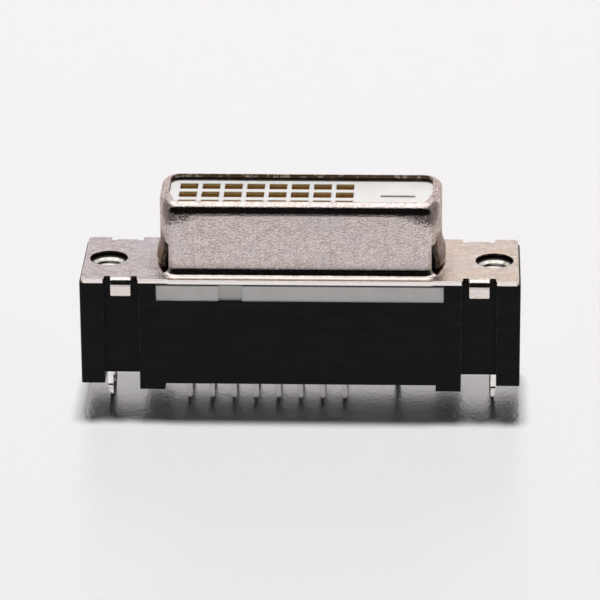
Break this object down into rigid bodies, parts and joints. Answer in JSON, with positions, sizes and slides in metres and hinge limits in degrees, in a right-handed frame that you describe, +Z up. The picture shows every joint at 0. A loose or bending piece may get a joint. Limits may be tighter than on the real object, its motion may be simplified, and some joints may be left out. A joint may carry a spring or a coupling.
{
  "type": "dvi connector",
  "caption": "Upright through-hole DVI receptacle for a circuit board: plated D-shaped shell and flange, white insulator, black housing, threaded inserts and board locks.",
  "frame": {"origin": "centre of the bounding box at its bottom, on the plane of the solder tails' tips", "axes": "+X along the connector towards the flat ground contact, +Y towards its back, +Z up out of the mating face"},
  "size_m": [0.0374, 0.0098, 0.0187],
  "materials": {
    "shell": "nickel-plated sheet, satin, with light tarnish",
    "insulator": "white moulded thermoplastic, fine matt",
    "housing": "black moulded thermoplastic, satin",
    "contact": "gold-flashed spring fork, bright tin on the tail",
    "insert": "turned and nickel-plated",
    "lock": "bright tin on stamped sheet"
  },
  "bodies": {
    "root": {"front_shell": "shell", "insulator": "insulator", "housing": "housing", "ground_blade": "contact", "threaded_insert_left": "insert", "threaded_insert_right": "insert", "board_lock_left": "lock", "board_lock_right": "lock", "contact_01": "contact", "contact_02": "contact", "contact_03": "contact", "contact_04": "contact", "contact_05": "contact", "contact_06": "contact", "contact_07": "contact", "contact_08": "contact", "contact_09": "contact", "contact_10": "contact", "contact_11": "contact", "contact_12": "contact", "contact_13": "contact", "contact_14": "contact", "contact_15": "contact", "contact_16": "contact", "contact_17": "contact", "contact_18": "contact", "contact_19": "contact", "contact_20": "contact", "contact_21": "contact", "contact_22": "contact", "contact_23": "contact", "contact_24": "contact"}
  },
  "joints": []
}
